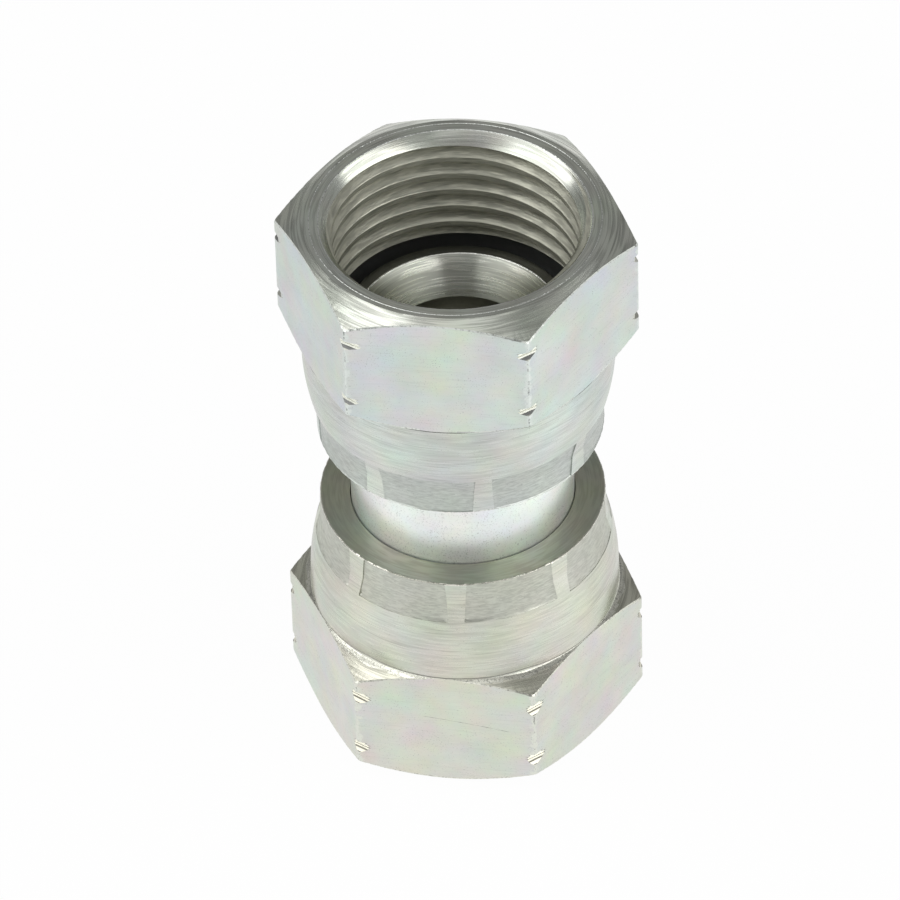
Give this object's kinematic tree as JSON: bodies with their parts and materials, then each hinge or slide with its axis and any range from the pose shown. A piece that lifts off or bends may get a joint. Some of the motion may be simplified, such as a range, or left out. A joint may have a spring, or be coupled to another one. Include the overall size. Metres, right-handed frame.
{
  "type": "straight adapter fitting",
  "caption": "Straight hydraulic adapter: a bored tube body with a crimped hex swivel nut and a conical flare seat at each end, for joining flared male fittings.",
  "frame": {"origin": "centre of the lower nut's mouth face, which is the face the adapter stands on", "axes": "+Z along the common axis of both nuts and the body, towards the upper nut; +X through a corner of the upper nut's hexagon"},
  "size_m": [0.0366, 0.032, 0.0626],
  "materials": {
    "plated_body": "turned steel, clear zinc plating, satin",
    "plated_nut": "drawn hex bar, clear zinc plating, satin with faint iridescence"
  },
  "bodies": {
    "body": {"tube_body": "plated_body"},
    "lower_nut": {"lower_swivel_nut": "plated_nut"},
    "upper_nut": {"upper_swivel_nut": "plated_nut"}
  },
  "joints": [
    {"name": "lower_nut_turn", "type": "hinge", "parent": "body", "child": "lower_nut", "pos_m": [0, 0, 0.0132], "axis": [0, 0, 1], "continuous": true},
    {"name": "upper_nut_turn", "type": "hinge", "parent": "body", "child": "upper_nut", "pos_m": [0, 0, 0.0494], "axis": [0, 0, 1], "continuous": true}
  ]
}
